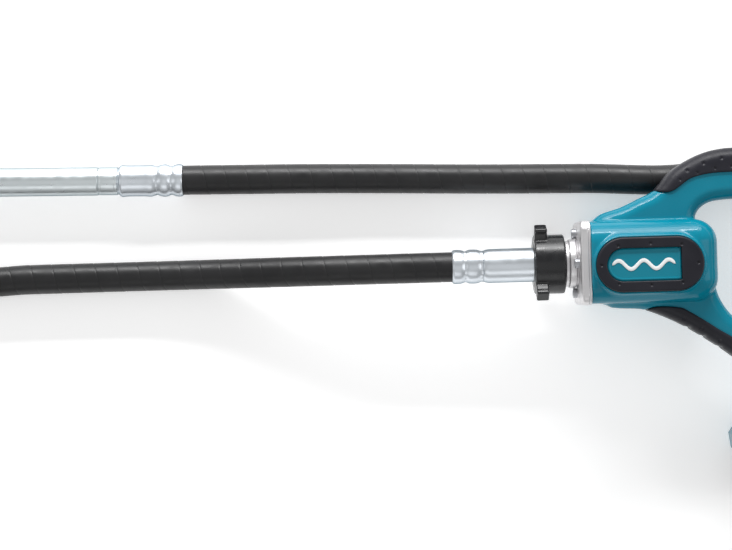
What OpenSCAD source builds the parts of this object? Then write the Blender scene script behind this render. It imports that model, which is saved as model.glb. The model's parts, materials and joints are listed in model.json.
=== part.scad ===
// Cordless concrete vibrator: drive unit with a D-shaped handle, flexible shaft and vibrating head.
// It lies on its right side: X runs from the nozzle to the rear, Y from the battery to the grip,
// Z up to the left side. Each module is drawn about the drive axis and set down by set_down().

/* [Barrel] */
// half height of the motor barrel
barrel_half_y = 35; // [28:1:45]
// half width of the motor barrel
barrel_half_z = 38; // [30:1:50]
// length of the barrel from the front plate to its round end
barrel_length = 105; // [90:1:140]
// height of the drive axis above the surface the tool lies on
lift = 46; // [42:1:60]
// wall of the plastic housing
wall = 3; // [2:0.5:5]

/* [Handle] */
// half thickness of the plastic handle
handle_half = 16; // [13:0.5:20]
// thickness of the soft grip
rubber = 2; // [1:0.5:4]
// half width of the battery base
base_half = 43; // [36:1:50]

/* [Side bumper] */
// half length of the bumper ring
ring_half_x = 45.4; // [35:0.1:55]
// half height of the bumper ring
ring_half_y = 23; // [18:1:28]
// width of the rubber band of the ring
ring_band = 9; // [6:0.5:12]

/* [Front end] */
// side of the square front plate
flange_size = 72; // [60:1:90]
// thickness of the front plate
flange_thick = 9; // [6:0.5:14]
// radius of the circle of the plate's screws
screw_circle = 25.5; // [22:0.5:30]
// body diameter of the clamp knob
knob_d = 51; // [44:1:60]
// outer radius of the knob's ears
ear_reach = 35; // [30:1:42]
// width of one ear
ear_width = 12; // [8:1:16]
// number of ears
ear_count = 3; // [2:1:6]
// turn of the first ear away from the top
ear_turn = 23; // [0:1:60]
// diameter of the rigid sleeve
sleeve_d = 29.3; // [26:0.1:34]
// clear gap between pieces that move on each other
run_gap = 0.3; // [0.1:0.05:0.5]

/* [Flexible shaft] */
// outside diameter of the hose
hose_d = 26; // [20:0.5:32]
// bore of the hose
hose_bore = 16; // [12:0.5:20]
// diameter of the turning core
core_d = 10; // [8:0.5:12]

/* [Vibrating head] */
// diameter of the vibrating tube
head_d = 25; // [20:0.5:40]
// bore of the vibrating tube
head_bore = 19; // [15:0.5:32]
// length of the vibrating tube
tube_length = 196; // [150:1:300]
// diameter of the crimped ferrule
ferrule_d = 28.4; // [26:0.1:34]
// turn of the head away from the drive axis
head_turn = -1; // [-5:0.5:5]

/* [Motor] */
// outside diameter of the motor can
can_d = 46; // [40:1:52]
// diameter of the armature
armature_d = 33.6; // [28:0.1:40]
// diameter of the motor shaft
shaft_d = 6; // [5:0.5:8]

/* [Battery] */
// half width of the battery
pack_half = 37.5; // [34:0.5:42]
// diameter of one cell
cell_d = 18.3; // [18:0.1:21.5]
// length of one cell
cell_length = 65; // [60:1:72]

/* [Hidden] */
$fn = 64;
// ends of the object along X and Y, and the middle that becomes the origin
rear_x = 240;
// front face of the housing, and where the knob and the rings of the neck begin
front_x = -4;
plate_x = front_x - flange_thick;
knob_front = -50.4;
knob_rear = -24.3;
neck_step = -20.6;
top_y = 95.5;
bottom_y = -210;
hose_end = [-353, 83.3];
head_z = ferrule_d / 2 - lift;
tube_start = 74;
tube_end = tube_start + tube_length;
nose_end = tube_end + 30;
rotor_end = tube_end - 10;
tip_x = hose_end[0] - nose_end * cos(head_turn);
center_x = (rear_x + tip_x) / 2;
center_y = (top_y + bottom_y) / 2;

// side view of the handle: outer edge, hand opening and the two soft grip areas
handle_edge = [
    [-4, -30], [-4, 31], [-1, 34.5], [3.5, 38.5], [9, 42], [25.5, 47], [40, 53.5], [54, 60.3],
    [69, 76.6], [84, 86], [98, 92], [113, 95], [126, 95.5], [178, 95.5], [204, 91], [224, 80], [236, 62], [240, 40],
    [240, -150], [152, -150], [148, -130], [152, -114], [118, -83.5], [93, -66],
    [73, -54], [52, -44.5], [40, -41], [12, -39], [4, -36]];
hand_opening = [
    [97, 27], [91, 32], [89, 37], [93, 44], [101, 49], [112, 51], [124, 51.5], [180, 51.5],
    [196, 47], [204, 36], [206, 20], [206, -84], [201, -97], [190, -104], [176, -98],
    [119, -49], [109, -35], [105, -22], [105, 12], [102, 21]];
grip_area = [
    [40, 62], [54, 60.4], [58, 59], [64, 58.2], [70, 59.5], [76, 63.5], [84, 69], [94, 72],
    [106, 73.6], [124, 74], [186, 74], [200, 76], [215, 84], [222, 110], [40, 110]];
arm_area = [
    [43.6, -41.8], [53, -38.9], [73, -39.9], [80, -43.3], [94, -52.1], [106, -60.1],
    [119, -68.2], [146, -92], [160, -106], [160, -125], [30, -125], [30, -50]];
base_edge = [[119, -152], [126, -142], [152, -136], [236, -132], [240, -136], [240, -166], [121, -166]];

// middle of the bumper ring and the dimples in it
ring_center = [44.5, -2.5];
ring_dimples = [[17.6, 13.5], [44.9, 15], [71.2, 13.5], [84.9, -2.5], [71.2, -18.6], [44.9, -20.1],
    [17.6, -18.6], [3.4, -2.5]];

// centre points of the housing screws
screw_spots = [[44, 47], [84, 60], [196, 62], [229, 20], [229, -80], [128, -74], [150, -94]];

// side of the tongue of the battery and its rails
tongue_half = 30;
neck_half = 26;
terminal_z = 12;

// route of the flexible shaft over the floor, from the drive unit to the head
route = [
    [-120.7, 0, 46], [-180, 0, 46], [-230, 0, 41.5], [-280, 0, 30], [-330, 0, 18.5],
    [-380, 0, 13.5], [-430, 0, 13], [-490, 0, 13], [-550, 0, 13], [-630, 21, 13],
    [-689, 80, 13], [-710, 160, 13], [-689, 240, 13], [-630, 299, 13], [-550, 320, 13],
    [-440, 320, 13], [-330, 320, 13], [-220, 320, 13], [-110, 320, 13], [0, 320, 13],
    [85, 320, 13], [147, 303, 13], [192, 258, 13], [209, 196, 13], [192, 134, 13],
    [147, 89, 13], [85, 72, 13], [0, 74.4, 13], [-90, 76.6, 13], [-180, 79.6, 13],
    [-250, 81.5, 14.2], [-300, 82.37, 14.2], [-353, 83.3, 14.2]];
rings_total = 80;

// smooth curve through the points of a route
function between(p, i, t) =
    let (a = p[max(i - 1, 0)], b = p[i], c = p[i + 1], d = p[min(i + 2, len(p) - 1)])
    0.5 * (2 * b + (c - a) * t + (2 * a - 5 * b + 4 * c - d) * t * t
        + (3 * b - a - 3 * c + d) * t * t * t);
function curve(p, n) =
    [for (k = [0 : n]) let (s = k * (len(p) - 1) / n, i = min(floor(s), len(p) - 2))
        between(p, i, s - i)];
function unit(v) = v / norm(v);
function heading(p, k) = unit(p[min(k + 1, len(p) - 1)] - p[max(k - 1, 0)]);
function ring(c, d, r, sides) =
    let (s = unit(cross(d, [0, 0, 1])), u = cross(s, d))
    [for (j = [0 : sides - 1]) c + r * (cos(360 * j / sides) * s + sin(360 * j / sides) * u)];
function skin(a, n, sides) =
    [for (k = [0 : n - 1], j = [0 : sides - 1])
        let (m = (j + 1) % sides, p = a + k * sides, q = p + sides)
        each [[p + j, p + m, q + m], [p + j, q + m, q + j]]];
function flipped(faces) = [for (f = faces) [for (i = [len(f) - 1 : -1 : 0]) f[i]]];
function row(a, sides) = [for (j = [0 : sides - 1]) a + j];

// round bar along a list of points
module bar_along(p, d, sides) {
    n = len(p) - 1;
    points = [for (k = [0 : n]) each ring(p[k], heading(p, k), d / 2, sides)];
    ends = concat(flipped([row(0, sides)]), [row(n * sides, sides)]);
    polyhedron(points, flipped(concat(skin(0, n, sides), ends)), convexity = 6);
}

// tube along a list of points
module tube_along(p, d, bore, sides) {
    n = len(p) - 1;
    outer = [for (k = [0 : n]) each ring(p[k], heading(p, k), d / 2, sides)];
    inner = [for (k = [0 : n]) each ring(p[k], heading(p, k), bore / 2, sides)];
    start = (n + 1) * sides;
    near = [for (j = [0 : sides - 1]) let (m = (j + 1) % sides) [j, start + j, start + m, m]];
    a = n * sides;
    far = [for (j = [0 : sides - 1]) let (m = (j + 1) % sides)
        [a + m, start + a + m, start + a + j, a + j]];
    faces = concat(skin(0, n, sides), flipped(skin(start, n, sides)), near, far);
    polyhedron(concat(outer, inner), flipped(faces), convexity = 10);
}

module set_down() translate([-center_x, -center_y, lift]) children();

module at_head() translate([hose_end[0], hose_end[1], head_z]) rotate([0, 0, head_turn])
    rotate([0, -90, 0]) children();

module rod(d, x1, x2) translate([x1, 0, 0]) rotate([0, 90, 0]) cylinder(d = d, h = x2 - x1);

module pipe(d, bore, x1, x2) difference() {
    rod(d, x1, x2);
    rod(bore, x1 - 1, x2 + 1);
}

module along_x(x1, x2) translate([x1, 0, 0]) rotate([0, 90, 0]) linear_extrude(x2 - x1) children();

module lathe_x(profile) rotate([0, 90, 0]) rotate_extrude() polygon(profile);

module block(x1, x2, y1, y2, z1, z2) translate([x1, y1, z1]) cube([x2 - x1, y2 - y1, z2 - z1]);

module section(half_z, half_y, r) {
    square([2 * half_z, 2 * (half_y - r)], center = true);
    square([2 * (half_z - r), 2 * half_y], center = true);
    for (u = [-1, 1], v = [-1, 1]) translate([u * (half_z - r), v * (half_y - r)]) circle(r);
}

module stadium(half_x, half_y) {
    square([2 * (half_x - half_y), 2 * half_y], center = true);
    for (u = [-1, 1]) translate([u * (half_x - half_y), 0]) circle(half_y);
}

// ---- housing ----

module barrel_side(i) {
    corner = 24;
    translate([front_x - 1, i - barrel_half_y])
        square([barrel_length - corner + 1 - front_x, 2 * (barrel_half_y - i)]);
    translate([front_x - 1, corner - barrel_half_y])
        square([barrel_length + 1 - front_x - i, 2 * (barrel_half_y - corner)]);
    for (v = [-1, 1]) translate([barrel_length - corner, v * (barrel_half_y - corner)])
        circle(corner - i);
}

module barrel(i) intersection() {
    along_x(i > 0 ? front_x - 1 : front_x, barrel_length) section(barrel_half_z - i, barrel_half_y - i, 20 - i);
    linear_extrude(120, center = true) barrel_side(i);
}

module handle_side() difference() {
    offset(1.5) offset(-1.5) polygon(handle_edge);
    polygon(hand_opening);
}

module soft_areas() {
    polygon(grip_area);
    polygon(arm_area);
}

module plastic_side() difference() {
    handle_side();
    difference() {
        soft_areas();
        offset(delta = -rubber) handle_side();
    }
}

module plastic_handle() {
    linear_extrude(2 * (handle_half - 2), center = true) plastic_side();
    linear_extrude(2 * handle_half, center = true) offset(delta = -2) plastic_side();
}

module handle_hollow() linear_extrude(2 * (handle_half - wall), center = true)
    offset(delta = -wall) plastic_side();

module base_block() {
    linear_extrude(2 * (base_half - 4), center = true) polygon(base_edge);
    linear_extrude(2 * base_half, center = true) offset(delta = -2) polygon(base_edge);
}

module base_hollow() intersection() {
    linear_extrude(2 * (base_half - 5), center = true) offset(delta = -wall) polygon(base_edge);
    block(100, rear_x, -154.6, -120, -base_half, base_half);
}

module battery_channel() {
    block(127.5, rear_x + 1, -162.4, -157.6, -tongue_half - run_gap, tongue_half + run_gap);
    block(127.5, rear_x + 1, -167, -162.4, -neck_half - run_gap, neck_half + run_gap);
    block(226.6, rear_x + 1, -158, -154, -9, 9);
    for (s = [-1, 1]) block(137, 153, -158, -154, s * terminal_z - 1, s * terminal_z + 1);
}

module ring_side() translate(ring_center) stadium(ring_half_x, ring_half_y);

module ring_boss() linear_extrude(barrel_half_z + 4) translate(ring_center)
    stadium(ring_half_x + 1.5, ring_half_y + 1.5);

module motor_ribs() for (x = [30, 60, 84]) difference() {
    along_x(x, x + 3) section(barrel_half_z - 2, barrel_half_y - 2, 18);
    rod(can_d, x - 1, x + 4);
    // notch that the motor's leads pass through
    block(83, 88, 15, barrel_half_y, -6, 6);
}

module screw_bosses() for (p = screw_spots)
    translate([p[0], p[1], -handle_half + 2]) cylinder(d = 9, h = 2 * handle_half - 4);

module screw_holes() for (p = screw_spots) translate([p[0], p[1], 0]) {
    translate([0, 0, -handle_half - 1]) cylinder(d = 7.8, h = 4);
    translate([0, 0, -handle_half]) cylinder(d = 4, h = handle_half + 11.5);
}

module housing_half(side) intersection() {
    difference() {
        union() {
            difference() {
                union() {
                    barrel(0);
                    plastic_handle();
                    base_block();
                    ring_boss();
                    mirror([0, 0, 1]) ring_boss();
                }
                barrel(wall);
                handle_hollow();
                base_hollow();
            }
            motor_ribs();
            difference() {
                screw_bosses();
                barrel(wall);
            }
        }
        screw_holes();
        battery_channel();
        block(126.5, 167.5, 50, 56, -8.9, 8.9);
        translate([178, 64, 0]) cylinder(d = 11, h = 20);
    }
    translate([-50, -300, side > 0 ? 0 : -100]) cube([400, 500, 100]);
}

module housing_left() color([0.0, 0.48, 0.57]) set_down() housing_half(1);

module housing_right() color([0.0, 0.48, 0.57]) set_down() housing_half(-1);

module soft_skin(area, side) intersection() {
    difference() {
        union() {
            linear_extrude(2 * handle_half, center = true) intersection() {
                handle_side();
                polygon(area);
            }
            linear_extrude(2 * (handle_half + rubber), center = true) intersection() {
                offset(delta = -2) handle_side();
                polygon(area);
            }
        }
        plastic_handle();
        barrel(0);
    }
    translate([-50, -300, side > 0 ? 0 : -100]) cube([400, 500, 100]);
}

module grip_rubber_left() color([0.13, 0.13, 0.15]) set_down() soft_skin(grip_area, 1);

module grip_rubber_right() color([0.13, 0.13, 0.15]) set_down() soft_skin(grip_area, -1);

module arm_rubber_left() color([0.13, 0.13, 0.15]) set_down() soft_skin(arm_area, 1);

module arm_rubber_right() color([0.13, 0.13, 0.15]) set_down() soft_skin(arm_area, -1);

module badge_side() intersection() {
    translate(ring_center) stadium(ring_half_x - ring_band, ring_half_y - ring_band);
    translate([0, -30]) square([70.8, 60]);
}

module bumper() translate([0, 0, barrel_half_z + 4]) difference() {
    linear_extrude(4) ring_side();
    translate([0, 0, -1]) linear_extrude(6) badge_side();
    for (p = ring_dimples) translate([p[0], p[1], 2.5]) cylinder(d = 2.6, h = 2, $fn = 24);
}

module bumper_left() color([0.13, 0.13, 0.15]) set_down() bumper();

module bumper_right() color([0.13, 0.13, 0.15]) set_down() mirror([0, 0, 1]) bumper();

module badge() translate([0, 0, barrel_half_z + 4]) linear_extrude(1.5) badge_side();

module badge_left() color([0.0, 0.5, 0.6]) set_down() badge();

module badge_right() color([0.0, 0.5, 0.6]) set_down() mirror([0, 0, 1]) badge();

module base_pads() color([0.13, 0.13, 0.15]) set_down() for (s = [0, 1]) mirror([0, 0, s])
    translate([0, 0, base_half]) linear_extrude(lift - base_half)
        translate([180, -149]) section(44, 8, 6);

module housing_screws() color([0.2, 0.2, 0.21]) set_down() for (p = screw_spots)
    translate([p[0], p[1], -handle_half + 0.5]) {
        difference() {
            cylinder(d = 7, h = 2.5);
            translate([0, 0, -1]) cylinder(d = 3.4, h = 2.2, $fn = 6);
        }
        cylinder(d = 3.6, h = 24);
    }

// ---- front end ----

module front_flange() color([0.8, 0.8, 0.81]) set_down() difference() {
    union() {
        along_x(plate_x, front_x) section(flange_size / 2, flange_size / 2, 10);
        rod(40, -14.5, plate_x);
    }
    rod(30.2, -15, front_x + 1);
    for (a = [0 : 90 : 270]) rotate([a, 0, 0]) translate([0, screw_circle, 0])
        rod(5.2, plate_x - 1, front_x + 1);
}

module flange_screws() color([0.35, 0.35, 0.37]) set_down() for (a = [0 : 90 : 270])
    rotate([a, 0, 0]) translate([0, screw_circle, 0]) {
        rod(4.8, plate_x, 9);
        difference() {
            rod(8.4, plate_x - 4.2, plate_x);
            rod(4.4, plate_x - 5, plate_x - 2, $fn = 6);
        }
    }

module bearing_block() color([0.62, 0.63, 0.65]) set_down() difference() {
    along_x(front_x, 10) section(barrel_half_z - wall, barrel_half_y - wall, 17);
    rod(26, front_x - 1, 9);
    rod(20, 8, 11);
    for (a = [0 : 90 : 270]) rotate([a, 0, 0]) translate([0, screw_circle, 0]) rod(5, front_x - 1, 11);
}

module race(x1, x2, od, id) {
    pipe(od, od - 4, x1, x2);
    pipe(id + 3.4, id, x1, x2);
    pipe(od - 4, id + 3.4, x1 + 1, x2 - 1);
}

module spindle_bearing() color([0.7, 0.7, 0.72]) set_down() race(0.5, 8.5, 26, 10.1);

module output_neck() color([0.78, 0.78, 0.8]) set_down() difference() {
    lathe_x([[11, -4.2], [11, -25.8], [12.1, -25.8], [12.1, -42], [16, -42], [16.5, -41.4],
        [16.5, -24], [19.8, -24], [19.8, neck_step], [21.2, neck_step], [21.2, -14.5],
        [15, -14.5], [15, -4.2]]);
}

module clamp_knob() color([0.11, 0.12, 0.13]) set_down() difference() {
    union() {
        rod(knob_d, knob_front, knob_rear);
        for (k = [0 : ear_count - 1]) rotate([ear_turn + 360 / ear_count * k, 0, 0])
            block(knob_front + 0.4, -39.3, 20, ear_reach, -ear_width / 2, ear_width / 2);
    }
    rod(sleeve_d + 2 * run_gap, knob_front - 1, -40);
    rod(33 + 2 * run_gap, -46.7, knob_rear + 1);
}

module thrust_ring() color([0.7, 0.7, 0.72]) set_down()
    pipe(32.8, sleeve_d + 2 * run_gap, -46.6, -45.1);

module rigid_sleeve() color([0.86, 0.86, 0.87]) set_down() lathe_x([[7.5, -94.3], [13.4, -94.3],
    [sleeve_d / 2, -89.6], [sleeve_d / 2, -45], [16.2, -45], [16.2, -42], [12, -42], [12, -26],
    [7.5, -26]]);

module hose_ferrule() color([0.75, 0.76, 0.76]) set_down() lathe_x([[8, -120.7], [13.2, -120.7],
    [14.3, -119.6], [14.8, -117], [14.8, -113.5], [14.3, -111], [13.4, -109.8], [14.3, -108.4],
    [14.8, -106], [14.8, -99.5], [14.3, -97.6], [13.6, -96.6], [13.6, -94.3], [8, -94.3]]);

module core_driver() color([0.6, 0.6, 0.62]) set_down() {
    rod(core_d, -120.4, -24);
    block(-24, -12, -4, 4, -4, 4);
}

module drive_spindle() color([0.65, 0.65, 0.67]) set_down() difference() {
    union() {
        rod(18, -24, -3);
        rod(10, -3, 11);
        rod(16, 11, 23);
    }
    block(-25, -11, -4.2, 4.2, -4.2, 4.2);
    rod(shaft_d, 13, 24);
}

// ---- flexible shaft ----

module hose() color([0.1, 0.1, 0.11]) translate([-center_x, -center_y, 0])
    tube_along(curve(route, rings_total / 2), hose_d, hose_bore, 12);

module flex_core() color([0.5, 0.5, 0.52]) translate([-center_x, -center_y, 0])
    bar_along(curve(route, rings_total / 2), core_d, 8);

// ---- vibrating head, drawn from the end of the hose towards the tip ----

module head_ferrule() color([0.75, 0.77, 0.77]) set_down() at_head() rotate_extrude()
    polygon([[8, 0], [13, 0], [13.8, 1], [14.2, 3], [14.2, 6.5], [13.8, 8.3], [13, 9.7], [13.8, 11.2],
        [14.2, 13.5], [14.2, 19.5], [13.8, 21.5], [13, 22.7], [13.8, 24.2], [14.2, 26.5],
        [14.2, 54.2], [13.2, 55.4], [11.4, 55.4], [11.4, 57], [8, 57]]);

module head_collar() color([0.72, 0.74, 0.74]) set_down() at_head() rotate_extrude()
    polygon([[7.3, 50], [8, 50], [8, 57], [12.3, 57], [12.3, 73.2], [11.9, tube_start],
        [head_bore / 2, tube_start], [head_bore / 2, 82], [7.5, 82], [7.5, 76], [4.6, 76],
        [4.6, 58], [7.3, 58]]);

module head_tube() color([0.8, 0.81, 0.81]) set_down() at_head() rotate_extrude()
    polygon([[head_bore / 2, tube_start], [12.1, tube_start], [head_d / 2, tube_start + 1],
        [head_d / 2, tube_end], [head_bore / 2, tube_end]]);

module head_nose() color([0.72, 0.73, 0.73]) set_down() at_head() rotate_extrude() {
    translate([0, rotor_end + 1]) square([head_bore / 2, nose_end - 20 - rotor_end]);
    translate([0, tube_end]) square([head_d / 2, 20]);
    intersection() {
        translate([0, tube_end + 20 - 2.8125]) circle(12.8125);
        translate([0, tube_end]) square([head_d / 2, 40]);
    }
}

module head_bearings() color([0.7, 0.7, 0.72]) set_down() at_head() for (u = [84, 250])
    translate([0, 0, u]) difference() {
        cylinder(d = head_bore, h = 8);
        translate([0, 0, -1]) cylinder(d = 8.1, h = 10);
        for (v = [-1, 7]) translate([0, 0, v]) difference() {
            cylinder(d = head_bore - 3, h = 2);
            translate([0, 0, -1]) cylinder(d = 11, h = 4);
        }
    }

module head_seal() color([0.13, 0.1, 0.09]) set_down() at_head() difference() {
    translate([0, 0, 76]) cylinder(d = 15, h = 5);
    translate([0, 0, 75]) cylinder(d = 8.2, h = 7);
}

module core_end() color([0.6, 0.6, 0.62]) set_down() at_head() {
    translate([0, 0, 0.3]) cylinder(d = core_d, h = 39.7);
    translate([-3.5, -3.5, 40]) cube([7, 7, 12]);
}

module eccentric_rotor() color([0.45, 0.45, 0.47]) set_down() at_head() difference() {
    union() {
        translate([0, 0, 40]) cylinder(d = 14, h = 16);
        translate([0, 0, 56]) cylinder(d = 8, h = rotor_end - 56);
        intersection() {
            translate([0, 0, 100]) cylinder(d = 17.4, h = 140);
            translate([-10, -20, 99]) cube([20, 20, 142]);
        }
    }
    translate([-3.6, -3.6, 39]) cube([7.2, 7.2, 13.5]);
}

// ---- motor ----

module motor_can() color([0.55, 0.56, 0.58]) set_down() difference() {
    rod(can_d, 24, 88);
    rod(can_d - 4, 28, 89);
    rod(13, 23, 29);
    for (a = [0 : 60 : 300]) rotate([a, 0, 0]) block(30, 37, 18, 25, -5, 5);
}

module motor_magnets() color([0.2, 0.2, 0.21]) set_down() difference() {
    pipe(can_d - 4, armature_d + 1.4, 42, 74);
    block(41, 75, -5, 5, -30, 30);
}

module motor_endbell() color([0.16, 0.16, 0.17]) set_down() difference() {
    union() {
        rod(can_d, 88, 92);
        rod(can_d - 8, 92, 95);
        for (s = [0, 1]) mirror([0, s, 0]) block(76.5, 88, 9, 20, -4.5, 4.5);
    }
    rod(13, 87, 92);
    rod(8, 87, 96);
    for (s = [0, 1]) mirror([0, s, 0]) block(77.5, 83.5, 5, 21, -2.5, 2.5);
}

module motor_bearings() color([0.7, 0.7, 0.72]) set_down() {
    pipe(13, shaft_d + 0.1, 24, 28);
    pipe(13, shaft_d + 0.1, 88, 92);
}

module brushes() color([0.15, 0.15, 0.15]) set_down() for (s = [0, 1]) mirror([0, s, 0])
    block(77.5, 83.5, 7.3, 17, -2.5, 2.5);

module motor_shaft() color([0.7, 0.7, 0.72]) set_down() rod(shaft_d, 13, 93.5);

module armature_core() color([0.35, 0.35, 0.37]) set_down() difference() {
    rod(armature_d, 44, 72);
    rod(shaft_d, 43, 73);
    for (k = [0 : 11]) rotate([30 * k, 0, 0]) {
        block(43, 73, 15.2, 18, -0.9, 0.9);
        translate([0, 13.2, 0]) rod(5, 43, 73);
    }
}

module windings() color([0.62, 0.34, 0.16]) set_down() {
    lathe_x([[4.5, 39], [14.4, 39], [16, 40.5], [16, 44], [4.5, 44]]);
    lathe_x([[4.5, 72], [16, 72], [16, 74.5], [14.4, 76], [4.5, 76]]);
    for (k = [0 : 11]) rotate([30 * k, 0, 0]) translate([0, 13.2, 0]) rod(4.6, 43, 73);
}

module commutator() color([0.72, 0.45, 0.25]) set_down() difference() {
    rod(14, 76.5, 84.5);
    rod(shaft_d, 76, 85);
    for (k = [0 : 11]) rotate([30 * k, 0, 0]) block(76, 85, 6.4, 8, -0.3, 0.3);
}

module fan() color([0.85, 0.85, 0.82]) set_down() difference() {
    union() {
        rod(14, 29.5, 37);
        rod(36, 29.5, 31);
        for (k = [0 : 8]) rotate([40 * k, 0, 0]) block(30, 37, 5, 18.5, -0.7, 0.7);
    }
    rod(shaft_d, 29, 38);
}

// ---- controls ----

module switch_body() color([0.12, 0.12, 0.13]) set_down() difference() {
    block(128, 170, 64.5, 84, -7, 7);
    translate([147, 60, 0]) rotate([-90, 0, 0]) cylinder(d = 6, h = 16);
}

module trigger() color([0.12, 0.12, 0.13]) set_down() {
    difference() {
        block(127, 167, 42, 58, -8.5, 8.5);
        translate([150, 14, -20]) cylinder(r = 30.5, h = 40);
    }
    translate([147, 57, 0]) rotate([-90, 0, 0]) cylinder(d = 5, h = 11);
}

module lock_button() color([0.12, 0.12, 0.13]) set_down() translate([178, 64, 0]) {
    translate([0, 0, 8]) cylinder(d = 10.4, h = 10.5);
    translate([0, 0, 18.5]) cylinder(d1 = 10.4, d2 = 8.4, h = 1);
}

module lock_spring() color([0.6, 0.6, 0.62]) set_down() translate([178, 64, 0]) bar_along(
    [for (k = [0 : 72]) [3.2 * cos(30 * k), 3.2 * sin(30 * k), -12.5 + 20 * k / 72]], 0.8, 6);

module terminal_block() color([0.15, 0.15, 0.16]) set_down() {
    block(134, 168, -154.6, -146, -18, 18);
    for (s = [-1, 1]) block(138, 152, -161.5, -154.6, s * terminal_z - 0.5, s * terminal_z + 0.5);
}

module controller() color([0.1, 0.35, 0.18]) set_down() {
    block(174, 206, -154.6, -152.8, -25, 25);
    block(178, 190, -152.8, -145, -20, -4);
    block(180, 202, -152.8, -148, 4, 20);
}

module lead_wires() color([0.6, 0.1, 0.08]) set_down() for (s = [-3, 3]) {
    bar_along(curve([[168, -150, s], [176, -141, s], [196, -128, s], [213, -110, s], [214, -40, s],
        [214, 30, s], [210, 56, s], [198, 73, s], [184, 78, s], [170, 78, s]], 30), 2, 6);
    bar_along(curve([[128, 70, s], [108, 62, s], [92, 55, s], [80, 45, s], [78, 36, s],
        [88, 28.5, s], [93, 25.6, s], [95.8, 21.5, s], [96.8, 16, s], [97, 9, s]], 36), 2, 6);
}

// ---- battery ----

module battery_case() color([0.1, 0.1, 0.11]) set_down() difference() {
    translate([122, -210, 0]) rotate([-90, 0, 0]) linear_extrude(34)
        translate([58, 0]) section(58, pack_half, 5);
    block(125, 235, -207, -170, -pack_half + wall, pack_half - wall);
    block(226.4, 241, -185, -170, -12.4, 12.4);
}

module battery_lid() color([0.13, 0.13, 0.14]) set_down() difference() {
    union() {
        translate([122, -176, 0]) rotate([-90, 0, 0]) linear_extrude(9.7)
            translate([58, 0]) section(58, pack_half, 5);
        block(128, 236, -167, -162.1, -neck_half, neck_half);
        block(128, 236, -162.1, -157.9, -tongue_half, tongue_half);
    }
    block(125, 235, -177, -169.3, -pack_half + wall, pack_half - wall);
    block(226.4, 241, -177, -156, -8.9, 8.9);
    block(226.4, 241, -177, -166.8, -12.4, 12.4);
    for (s = [-1, 1]) block(127, 154, -163, -157, s * terminal_z - 1.4, s * terminal_z + 1.4);
}

module battery_cells() color([0.2, 0.45, 0.65]) set_down()
    for (i = [0 : 4], y = [-197.4, -178.8]) translate([140 + 19 * i, y, -cell_length / 2])
        cylinder(d = cell_d, h = cell_length);

module cell_straps() color([0.8, 0.8, 0.8]) set_down() for (i = [0 : 4], s = [0, 1]) mirror([0, 0, s])
    block(136 + 19 * i, 144 + 19 * i, -202, -174, cell_length / 2, cell_length / 2 + 0.4);

module battery_terminals() color([0.75, 0.6, 0.3]) set_down()
    for (s = [-1, 1], t = [-1.4, 0.8])
        block(140, 152, -162.8, -158.2, s * terminal_z + t, s * terminal_z + t + 0.6);

module battery_latch() color([0.65, 0.08, 0.06]) set_down() {
    block(227, 233, -172, -155.4, -8.5, 8.5);
    block(233, 239.6, -180, -170, -12, 12);
}

housing_left();
housing_right();
grip_rubber_left();
grip_rubber_right();
arm_rubber_left();
arm_rubber_right();
bumper_left();
bumper_right();
badge_left();
badge_right();
base_pads();
housing_screws();
front_flange();
flange_screws();
bearing_block();
spindle_bearing();
output_neck();
clamp_knob();
thrust_ring();
rigid_sleeve();
hose_ferrule();
core_driver();
drive_spindle();
hose();
flex_core();
head_ferrule();
head_collar();
head_tube();
head_nose();
head_bearings();
head_seal();
core_end();
eccentric_rotor();
motor_can();
motor_magnets();
motor_endbell();
motor_bearings();
brushes();
motor_shaft();
armature_core();
windings();
commutator();
fan();
switch_body();
trigger();
lock_button();
lock_spring();
terminal_block();
controller();
lead_wires();
battery_case();
battery_lid();
battery_cells();
cell_straps();
battery_terminals();
battery_latch();
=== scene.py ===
import json
import math

import bpy
import bmesh
import numpy as np
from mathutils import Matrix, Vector


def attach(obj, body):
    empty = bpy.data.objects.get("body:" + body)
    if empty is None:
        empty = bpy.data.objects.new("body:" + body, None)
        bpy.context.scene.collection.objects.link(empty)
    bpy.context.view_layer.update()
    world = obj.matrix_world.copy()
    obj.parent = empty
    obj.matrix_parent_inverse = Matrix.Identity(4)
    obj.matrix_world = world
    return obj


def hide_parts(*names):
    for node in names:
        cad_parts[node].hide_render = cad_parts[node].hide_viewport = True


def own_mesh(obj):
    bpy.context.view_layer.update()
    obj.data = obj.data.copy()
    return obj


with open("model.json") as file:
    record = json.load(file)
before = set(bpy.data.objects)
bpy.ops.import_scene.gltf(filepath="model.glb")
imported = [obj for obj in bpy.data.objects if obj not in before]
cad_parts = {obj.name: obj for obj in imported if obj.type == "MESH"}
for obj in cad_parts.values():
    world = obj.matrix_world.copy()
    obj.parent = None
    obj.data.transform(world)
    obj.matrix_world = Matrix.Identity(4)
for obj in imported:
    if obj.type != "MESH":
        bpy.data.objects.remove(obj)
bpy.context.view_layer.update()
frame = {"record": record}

# Lengths below are millimetres about the drive axis, as in part.scad; place() turns them into
# metres in the row frame. X runs from the nozzle to the rear, Y from the battery to the grip and
# Z up from the axis, the tool lying on its right side.
LIFT = 46.0                # height of the drive axis over the floor
TURN = math.radians(-1)    # the head's heading, from -X
HEAD_LENGTH = 300.0
HOSE_END = np.array([-353.0, 83.3, 14.2 - LIFT])
HANDLE_REAR, GRIP_TOP, BATTERY_FOOT = 240.0, 95.5, -210.0
# origin of the row frame: on the floor, midway from tip to rear and from battery to grip
HEAD_TIP = HOSE_END[0] - HEAD_LENGTH * math.cos(TURN)
ORIGIN = ((HEAD_TIP + HANDLE_REAR) / 2, (GRIP_TOP + BATTERY_FOOT) / 2, -LIFT)
SCENE = bpy.context.scene


def place(p):
    return (np.asarray(p, float) - ORIGIN) * 0.001


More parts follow.
